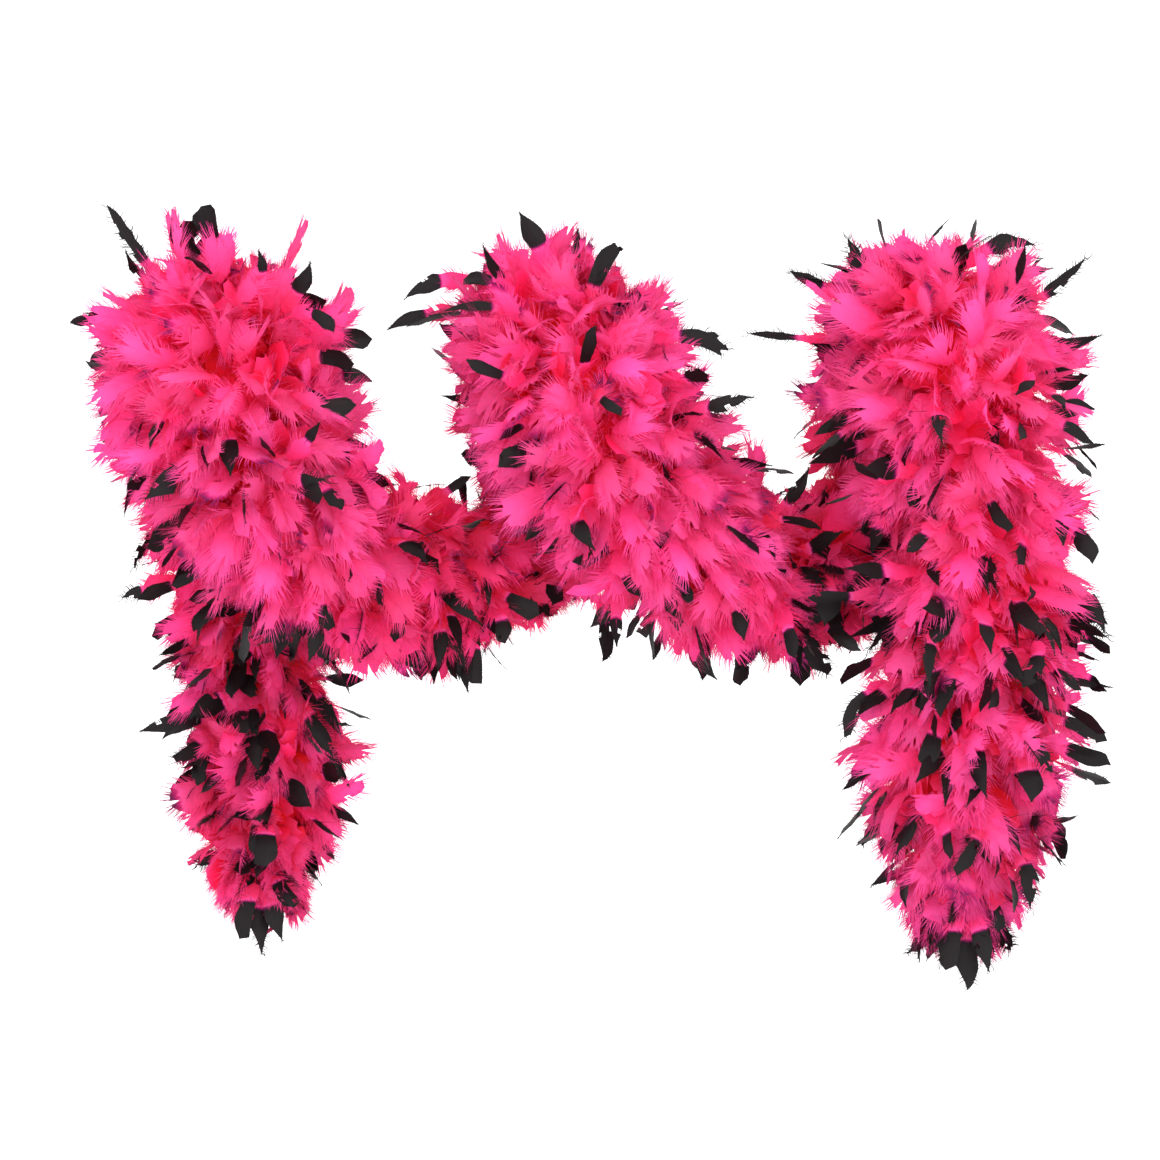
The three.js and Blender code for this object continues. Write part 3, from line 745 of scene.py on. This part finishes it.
def barb(i, sign, t, p, d, w, n, reach, gamma, f, cup_scale=1.6):
    """a point a fraction f out along each barb; f (..., j)"""
    reach = reach[..., None, None]
    f = f[..., None]
    g = gamma[..., None]
    dirv = (d * np.cos(g) + sign * w * np.sin(g))[..., None, :]
    tipd = (d * np.cos(g * 0.55) + sign * w * np.sin(g * 0.55))[..., None, :]
    c = p[..., None, :] + reach * (dirv * f * (1 - 0.3 * f) + tipd * 0.3 * f * f)
    side_out = reach * f * np.sin(g)[..., None, :]
    bend = wide_as(CUP[i], side_out) * (side_out / 10.0) ** 2 * cup_scale
    return c - n[..., None, :] * bend, reach[..., 0] * f[..., 0] * np.cos(gamma)[..., None]


def vane(soup, i, r):
    """The flat of each feather: two sheets of barbs, one each side of the quill, split here and there."""
    m = len(i)
    x, t, p, d, w, n = vane_grid(i, r)
    K = x.shape[1]
    J = 4
    for sign in (-1, 1):
        inked = black[i][:, None] & (t > dip_t[i][:, None] - 0.03)
        rag = np.where(inked, np.where(frayed[i][:, None], r.uniform(0.75, 1.08, (m, K)), r.uniform(0.96, 1.03, (m, K))), r.uniform(0.86, 1.05, (m, K)))
        gamma = slant(i, t, x)
        reach = reach_of(i, t, half_width(i, t, x, sign), gamma) * rag
        solid = np.where(black[i][:, None], np.clip(0.74 + 2.2 * (t - dip_t[i][:, None] + 0.10), 0.74, 1), 0.74)
        f = np.linspace(0, 1, J)[None, None, :] * solid[..., None]
        c, ahead = barb(i, sign, t, p, d, w, n, reach, gamma, f)
        c = c + n[:, :, None] * (r.normal(0, 0.55, (m, K, 1, 1)) * (f**1.5)[..., None]) * np.where(black[i], 0.5, 1.0)[:, None, None, None]
        tt = t[..., None] + ahead / length[i][:, None, None]
        u = dye_and_shade_at(i, tt)
        ton = tone[i][:, None, None] + 0.05 * sign * f + r.normal(0, 0.03, (m, K, 1))
        uv = np.stack([np.clip(u, 0, 1), np.clip(ton, 0.01, 0.99)], -1)
        base = (np.arange(m)[:, None, None] * K + np.arange(K - 1)[None, :, None]) * J + np.arange(J - 1)[None, None]
        q = np.stack([base, base + 1, base + J + 1, base + J], -1)
        keep = np.ones((m, K - 1, J - 1), bool)
        split = r.random((m, K - 1)) < np.where(frayed[i][:, None], 0.16, np.where(black[i][:, None], 0.02, 0.05))
        keep[:, :, -1] &= ~split
        keep[:, :, -2] &= ~(split & (r.random((m, K - 1)) < 0.5))
        soup.add(off_rail(c), uv, q[keep])


def fringe(soup, i, r):
    """Fine hairs that carry the barbs on past the edge of the vane."""
    m = len(i)
    K = 38
    for sign in (-1, 1):
        x = (np.arange(K)[None] + r.random((m, K))) / K
        end = np.where(black[i], 0.995, 0.97)[:, None]
        t = vane_from[i][:, None] + (end - vane_from[i][:, None]) * x
        p, d = quill(i, t)
        w, n = flat_side(i, d)
        p = p - n * (CURL[i][:, None, None] * (x[..., None] ** 2) * 6.0)
        gamma = slant(i, t, x) + r.normal(0, 0.05, (m, K))
        reach = np.maximum(reach_of(i, t, half_width(i, t, x, sign), gamma), 0.8)
        inked = black[i][:, None] & (t > dip_t[i][:, None] - 0.02)
        clump = 0.5 + 0.5 * np.sin(x * 34 + 6 * tone[i][:, None] * 7) * np.sin(x * 13 + sign)
        extra = np.where(inked, np.where(frayed[i][:, None], r.uniform(1, 6, (m, K)), r.uniform(0.1, 0.8, (m, K))), (1.2 + 5.2 * clump) * r.uniform(0.5, 1.3, (m, K)))
        J = 3
        stop = (reach + extra) / reach
        f = 0.52 + (stop[..., None] - 0.52) * np.linspace(0, 1, J)[None, None]
        c, ahead = barb(i, sign, t, p, d, w, n, reach, gamma, f)
        c = c + r.normal(0, 0.8, (m, K, 1, 3)) * (np.linspace(0, 1, J) ** 2)[None, None, :, None] * np.where(inked, 0.35, 1.0)[..., None, None]
        tt = np.minimum(t[..., None] + ahead / length[i][:, None, None], 1.0)
        across = unit(np.cross(c[:, :, -1] - c[:, :, 0], n))[:, :, None]
        wide = r.uniform(0.13, 0.26, (m, K))[..., None, None] * np.array([1.1, 0.9, 0.16])[None, None, :, None]
        u = dye_and_shade_at(i, tt)
        ton = tone[i][:, None, None] + r.uniform(-0.1, 0.1, (m, K, 1)) + np.zeros_like(u)
        uv0 = np.stack([np.clip(u - 0.008, 0, 1), np.clip(ton - 0.012, 0.01, 0.99)], -1)
        uv1 = np.stack([np.clip(u + 0.008, 0, 1), np.clip(ton + 0.012, 0.01, 0.99)], -1)
        sh = (m * K, J)
        soup.ribbons(off_rail(c).reshape(*sh, 3), (across * wide).reshape(*sh, 3), uv0.reshape(*sh, 2), uv1.reshape(*sh, 2))


def quills(soup, i):
    m = len(i)
    k = 6
    x = np.linspace(0, 1, k)
    t = np.tile(x * 0.96, (m, 1))
    p, d = quill(i, t)
    w, n = flat_side(i, d)
    xv = np.clip((t - vane_from[i][:, None]) / (0.98 - vane_from[i][:, None]), 0, 1)
    p = p - n * (CURL[i][:, None, None] * (xv[..., None] ** 2) * 6.0)
    h = w * (np.linspace(0.5, 0.14, k)[None, :, None])
    u = dye_and_shade_at(i, t)
    ton = np.broadcast_to(tone[i][:, None], u.shape)
    uv0 = np.stack([u, ton], -1)
    uv1 = np.stack([np.clip(u + 0.01, 0, 1), np.clip(ton + 0.03, 0, 1)], -1)
    soup.ribbons(off_rail(p + n * 0.12), h, uv0, uv1)


def down(soup, i, r):
    """Soft down: long loose barbs round the lower part of each quill."""
    m = len(i)
    K = 22
    t = 0.14 + 0.56 * (np.arange(K)[None] + r.random((m, K))) / K
    t = np.where(black[i][:, None], t, t * 1.15)
    p, d = quill(i, t)
    w, n = flat_side(i, d)
    ang = np.where(np.arange(K)[None] % 2 == 0, 0.0, np.pi) + r.normal(0, 0.8, (m, K))
    out = w * np.cos(ang)[..., None] + n * np.sin(ang)[..., None]
    gamma = np.radians(r.uniform(34, 70, (m, K)))
    ln = r.uniform(9, 17, (m, K)) * np.clip(R[i] / 56, 0.8, 1.1)[:, None]
    J = 3
    f = np.linspace(0, 1, J)[None, None, :, None]
    dirv = d * np.cos(gamma)[..., None] + out * np.sin(gamma)[..., None]
    curl = unit(r.normal(0, 1, (m, K, 3)) + DOWN * 0.5)
    c = p[:, :, None] + ln[..., None, None] * (dirv[:, :, None] * f + 0.30 * curl[:, :, None] * f * f)
    across = unit(np.cross(dirv, r.normal(0, 1, (m, K, 3))))
    wide = r.uniform(0.12, 0.22, (m, K))[..., None, None] * np.array([1.0, 0.8, 0.14])[None, None, :, None]
    h = across[:, :, None] * wide
    u = dye_and_shade_at(i, t[..., None] + 0.12 * f[..., 0] + np.zeros((m, K, 1)))
    u = np.where(black[i][:, None, None], u, np.minimum(u, 0.66))
    ton = np.clip(tone[i][:, None, None] + r.uniform(-0.12, 0.12, (m, K, 1)), 0.03, 0.97)
    ton = np.broadcast_to(ton, u.shape)
    uv0 = np.stack([np.clip(u - 0.01, 0, 1), ton - 0.015], -1)
    uv1 = np.stack([np.clip(u + 0.01, 0, 1), ton + 0.015], -1)
    sh = (m * K, J)
    soup.ribbons(off_rail(c).reshape(*sh, 3), h.reshape(*sh, 3), uv0.reshape(*sh, 2), uv1.reshape(*sh, 2))


def under_tufts(soup, s0, s1, r):
    """Short broad feathers close to the cord, under the showing ones, that close the gaps."""
    n = int((s1 - s0) * (1.15)) + 1
    s = r.uniform(s0, s1, n)
    p, t, a, b, rad = along(s)
    inner = unit(np.stack([np.zeros(n), -p[:, 1], -p[:, 2]], -1))
    ph = r.uniform(0, 2 * np.pi, n)
    e = a * np.cos(ph)[:, None] + b * np.sin(ph)[:, None]
    near = np.hypot(p[:, 1], p[:, 2]) < 85
    e = np.where((near & ((e * inner).sum(1) > 0.45))[:, None], e - inner * (1.2 * (e * inner).sum(1))[:, None], e)
    e = unit(e)
    az = r.uniform(0, 2 * np.pi, n)
    tang = t * np.cos(az)[:, None] + np.cross(t, e) * np.sin(az)[:, None]
    ln = rad * r.uniform(0.40, 0.58, n)
    root = p + e * (rad * r.uniform(0.25, 0.42, n))[:, None]
    d = unit(tang + e * r.uniform(0.35, 1.0, n)[:, None] + DOWN * 0.25)
    w = unit(np.cross(d, e) + r.normal(0, 0.25, (n, 3)))
    nn = np.cross(w, d)
    K, J = 6, 5
    x = np.linspace(0, 1, K)[None, :, None]
    f = np.linspace(-1, 1, J)[None, None, :]
    wd = (r.uniform(9, 15, n)[:, None, None] * np.sin(np.pi * (0.12 + 0.80 * x)) ** 0.7) * r.uniform(0.8, 1.08, (n, K, J))
    ahead = x * ln[:, None, None] + np.abs(f) * wd * 0.5 * (1 - x * 0.4)
    c = root[:, None, None] + d[:, None, None] * ahead[..., None] + w[:, None, None] * (f * wd)[..., None]
    c = c - nn[:, None, None] * (2.6 * f**2 + 4.0 * x**2 * r.uniform(-1, 1, (n, 1, 1)))[..., None] * np.sign((nn * e).sum(1))[:, None, None, None]
    # painted shade: u 0.10 to 0.44 colours these tufts the deep red of the shade low in the plumage
    u = 0.10 + 0.34 * x + 0 * f + 0 * wd
    ton = r.uniform(0.1, 0.9, (n, 1, 1)) + 0.04 * f + 0 * wd
    base = (np.arange(n)[:, None, None] * K + np.arange(K - 1)[None, :, None]) * J + np.arange(J - 1)[None, None]
    q = np.stack([base, base + 1, base + J + 1, base + J], -1).reshape(-1, 4)
    soup.add(off_rail(c), np.stack([u, ton], -1), q)


def inner_down(soup, s0, s1, seed):
    """The felted heart of the plumage round the cord: a closed lumpy sleeve."""
    r = np.random.default_rng(seed)
    k = max(4, int((s1 - s0) / 6))
    s = np.linspace(s0, s1, k)
    p, t, a, b, rad = along(s)
    sides = 18
    ang = np.linspace(0, 2 * np.pi, sides, endpoint=False)
    rr = rad[:, None] * 0.44 * (1 + 0.16 * np.sin(3 * ang[None] + s[:, None] * 0.21) + 0.10 * np.sin(5 * ang[None] - s[:, None] * 0.33) + r.normal(0, 0.05, (k, sides)))
    rr[0] *= 0.93
    rr[-1] *= 0.93
    v = p[:, None] + rr[..., None] * (np.cos(ang)[None, :, None] * a[:, None] + np.sin(ang)[None, :, None] * b[:, None])
    d = np.hypot(v[..., 1], v[..., 2])
    push = np.where(d < RAIL_R + 2, (RAIL_R + 2) / d, 1.0)
    v[..., 1] *= push
    v[..., 2] *= push
    verts = v.reshape(-1, 3)
    i = np.arange(k - 1)[:, None] * sides
    j = np.arange(sides)[None]
    q = np.stack([i + j, i + (j + 1) % sides, i + sides + (j + 1) % sides, i + sides + j], -1).reshape(-1, 4)
    tris = []
    verts = np.vstack([verts, p[0], p[-1]])
    for jj in range(sides):
        tris.append((k * sides, (jj + 1) % sides, jj))
        tris.append((k * sides + 1, (k - 1) * sides + jj, (k - 1) * sides + (jj + 1) % sides))
    # painted shade: the sleeve takes the deepest red of the root, the shade at the heart of the plumage
    uv = np.stack([0.02 + 0.08 * r.random(len(verts)), 0.2 + 0.5 * r.random(len(verts))], -1)
    soup.add(verts, uv, q, np.array(tris))


def plumage(name, nodes, s0, s1, body=None, bend=None, first=False, last=False):
    """One stretch of plumage: every feather rooted between lengths s0 and s1."""
    lo = -1e9 if first else s0
    hi = 1e9 if last else s1
    i = np.nonzero((f_s >= lo) & (f_s < hi))[0]
    seed = int(s0 * 10) + 11
    r = np.random.default_rng(seed)
    soup = Soup()
    inner_down(soup, s0 + (4 if first else 0), s1 - (4 if last else 0), seed)
    under_tufts(soup, s0, s1, r)
    quills(soup, i)
    vane(soup, i, r)
    fringe(soup, i, r)
    down(soup, i, r)
    ob = soup.object(name, [FEATHER])
    if bend:
        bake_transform(ob)
    else:
        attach(ob, body)
    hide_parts(*nodes)
    return ob


def stops(cuts):
    return [s_of(u) for u in cuts]


PARTS = ["back_below", "back_low", "back_high", "crown", "front_high", "front_low", "front_below"]
SLEEVES = []  # node, s0, s1, body
wraps = [
    ("left_wrap", [L_TOP, *stops([4.55, 5.85, 7.2, 8.8, 10.15, 11.45]), LS_A]),
    ("middle_wrap", [LS_B, *stops([18.7, 19.85, 21.2, 22.8, 24.15, 25.5]), RS_A]),
    ("right_wrap", [RS_B, *stops([31.75, 32.85, 34.2, 35.8, 37.15, 38.45]), R_TOP]),
]
SLEEVES += [("left_tail_end", 0, L_END, "left_tail_end"), ("left_tail_middle", L_END, L_MID, "left_tail_middle"), ("left_tail_top", L_MID, L_TOP, "left_tail_top")]
for w, cuts in wraps:
    SLEEVES += [(f"{w}_{p}", cuts[k], cuts[k + 1], ROOT) for k, p in enumerate(PARTS)]
for w, a, b in (("left_swag", LS_A, LS_B), ("right_swag", RS_A, RS_B)):
    e = [a + (b - a) * k / 3 for k in range(4)]
    SLEEVES += [(f"{w}_{p}", e[k], e[k + 1], w) for k, p in enumerate(("first", "middle", "last"))]
SLEEVES += [("right_tail_top", R_TOP, R_MID, "right_tail_top"), ("right_tail_middle", R_MID, R_END, "right_tail_middle"), ("right_tail_end", R_END, TOTAL, "right_tail_end")]

# each hinge: where, the body before it and the body after it along the line, and how long the stretch of plumage beside
# it is that is made in pieces of its own
HINGES = [
    (L_END, "left_tail_end", "left_tail_middle", 30),
    (L_MID, "left_tail_middle", "left_tail_top", 30),
    (L_TOP, "left_tail_top", ROOT, 32),
    (LS_A, ROOT, "left_swag", 34),
    (LS_B, "left_swag", ROOT, 30),
    (RS_A, ROOT, "right_swag", 34),
    (RS_B, "right_swag", ROOT, 30),
    (R_TOP, ROOT, "right_tail_top", 34),
    (R_MID, "right_tail_top", "right_tail_middle", 36),
    (R_END, "right_tail_middle", "right_tail_end", 32),
]
for node, s0, s1, body in SLEEVES:
    cuts = [(s0, s1, None)]
    at0 = next((h for h in HINGES if abs(h[0] - s0) < 1e-6), None)
    at1 = next((h for h in HINGES if abs(h[0] - s1) < 1e-6), None)
    span = s1 - s0
    z0 = min(at0[3], span) if at0 else 0
    z1 = min(at1[3], span) if at1 else 0
    if z0 + z1 > span:
        z0, z1 = (span / 2 if at1 else z0), (span / 2 if at0 else z1)
    bits = []
    if at0:
        bits.append((s0, s0 + z0, at0, "near_hinge" if not at1 else "first_half"))
    if span - z0 - z1 > 8:
        bits.append((s0 + z0, s1 - z1, None, "" if not (at0 or at1) else "body"))
    elif span - z0 - z1 > 0:
        if at0:
            bits[0] = (s0, s1 - z1, at0, bits[0][3])
        else:
            z1 = span
    if at1:
        bits.append((s1 - z1, s1, at1, "near_hinge" if not at0 else "last_half"))
    for a, b, h, tag in bits:
        plumage(
            "feathers_" + node + ("_" + tag if tag else ""), ["plumage_" + node], a, b,
            body=body, bend=(h[1], h[2], h[0]) if h else None,
            first=a == 0, last=abs(b - TOTAL) < 1e-6,
        )

# ------------------------------------------------------------------ stage and light
floor = make_mesh("floor", np.array([(-1300, -1300, -640), (1300, -1300, -640), (1300, 1300, -640), (-1300, 1300, -640)]), np.array([[0, 1, 2, 3]]))
fm, fnt, fp = nodes_of("pale_floor")
fn = fnt.nodes.new("ShaderNodeTexNoise")
fn.inputs["Scale"].default_value = 6
fr = ramp(fnt, [(0.3, (0.86, 0.86, 0.86)), (0.7, (0.9, 0.9, 0.9))])
fnt.links.new(fn.outputs["Fac"], fr.inputs["Fac"])
fnt.links.new(fr.outputs["Color"], fp.inputs["Base Color"])
fp.inputs["Roughness"].default_value = 0.9
floor.data.materials.append(fm)

world = bpy.data.worlds.new("studio")
scene.world = world
world.use_nodes = True
bg = next(n for n in world.node_tree.nodes if n.type == "BACKGROUND")
bg.inputs["Color"].default_value = (1, 1, 1, 1)
bg.inputs["Strength"].default_value = 1.58


def area(name, at, look, size, power):
    d = bpy.data.lights.new(name, "AREA")
    d.shape = "RECTANGLE"
    d.size, d.size_y = size
    d.energy = power
    o = bpy.data.objects.new(name, d)
    scene.collection.objects.link(o)
    o.location = at
    o.rotation_euler = (Vector(look) - Vector(at)).to_track_quat("-Z", "Y").to_euler()
    return o


area("key", (-1.1, -2.4, 1.5), (0, 0, -0.1), (1.6, 1.6), 9)
area("front", (0.35, -3.2, 0.15), (0, 0, -0.1), (2.2, 2.2), 30)
scene.view_settings.view_transform = "Standard"
scene.view_settings.look = "None"
scene.view_settings.exposure = 0
scene.view_settings.gamma = 1
